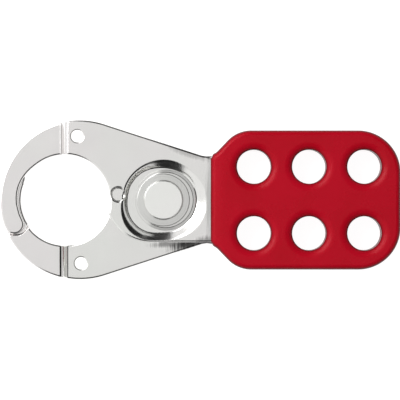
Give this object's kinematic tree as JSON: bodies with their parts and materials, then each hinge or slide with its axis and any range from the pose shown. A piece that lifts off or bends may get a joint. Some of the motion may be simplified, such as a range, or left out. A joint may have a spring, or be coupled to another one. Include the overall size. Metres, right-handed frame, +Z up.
{
  "type": "lockout hasp",
  "caption": "Steel scissor hasp whose round jaw closes round a lockable point while padlocks through its coated grip panels hold it shut.",
  "frame": {"origin": "middle of the footprint, on the surface that the closed hasp lies on", "axes": "+X along the hasp from the jaw to the grip, +Y across it towards the front half's jaw arm, +Z up through the stack of the two halves to the front"},
  "size_m": [0.1118, 0.0446, 0.0086],
  "materials": {
    "plated_steel": "bright nickel plate, faintly grained",
    "red_vinyl": "dipped vinyl, soft gloss",
    "rivet_steel": "bright nickel plate"
  },
  "bodies": {
    "back_half": {"back_plate": "plated_steel", "back_grip_coating": "red_vinyl", "pivot_rivet": "rivet_steel", "front_washer": "rivet_steel", "back_washer": "rivet_steel"},
    "front_half": {"front_plate": "plated_steel", "front_grip_coating": "red_vinyl"}
  },
  "joints": [
    {"name": "jaw_pivot", "type": "hinge", "parent": "back_half", "child": "front_half", "pos_m": [-0.0102, 0, 0.0043], "axis": [0, 0, -1], "range_deg": [0, 105]}
  ]
}
